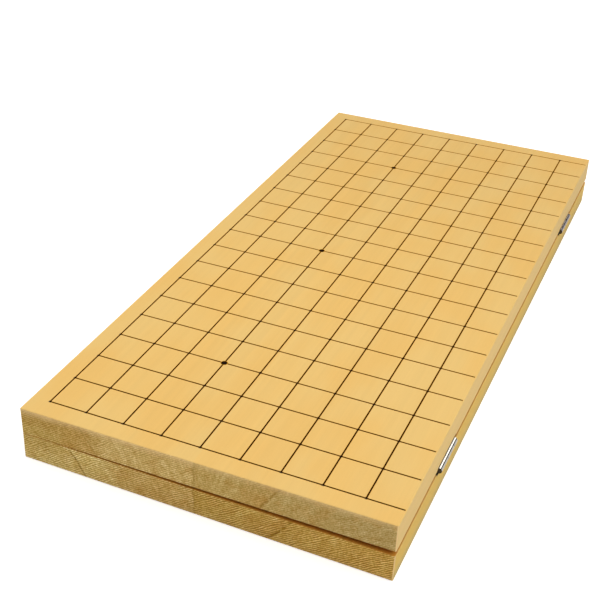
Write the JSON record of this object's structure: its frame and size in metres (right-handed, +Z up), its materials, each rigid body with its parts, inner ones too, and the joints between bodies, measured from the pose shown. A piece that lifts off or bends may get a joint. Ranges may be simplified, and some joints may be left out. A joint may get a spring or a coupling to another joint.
{
  "type": "go board",
  "caption": "Folding go board, shut back to back: eased wooden halves with an inked playing grid and star points, joined by plated butt hinges along one long side.",
  "frame": {"origin": "middle of the shut board's outline, on the surface that it lies on", "axes": "+X across the board from the free edge to the fold, +Y along the board and the hinge pins, +Z up through both halves"},
  "size_m": [0.2094, 0.45, 0.035],
  "materials": {
    "pale_wood": "straw-coloured straight-grained wood under a thin satin clear coat",
    "black_ink": "black lacquer ink, satin",
    "plated_steel": "bright nickel plate on bent sheet steel",
    "plated_screws": "bright nickel plate on cold-headed steel"
  },
  "bodies": {
    "lower_half": {"lower_outer_stave": "pale_wood", "lower_fold_stave": "pale_wood", "lower_grid_lines": "black_ink", "lower_star_points": "black_ink", "near_hinge_lower_leaf": "plated_steel", "near_hinge_pin": "plated_steel", "near_hinge_lower_screws": "plated_screws", "far_hinge_lower_leaf": "plated_steel", "far_hinge_pin": "plated_steel", "far_hinge_lower_screws": "plated_screws"},
    "upper_half": {"upper_outer_stave": "pale_wood", "upper_fold_stave": "pale_wood", "upper_grid_lines": "black_ink", "upper_star_points": "black_ink", "near_hinge_upper_leaf": "plated_steel", "near_hinge_upper_screws": "plated_screws", "far_hinge_upper_leaf": "plated_steel", "far_hinge_upper_screws": "plated_screws"}
  },
  "joints": [
    {"name": "fold", "type": "hinge", "parent": "lower_half", "child": "upper_half", "pos_m": [0.10293, 0, 0.0175], "axis": [0, 1, 0], "range_deg": [0, 180.8]}
  ]
}
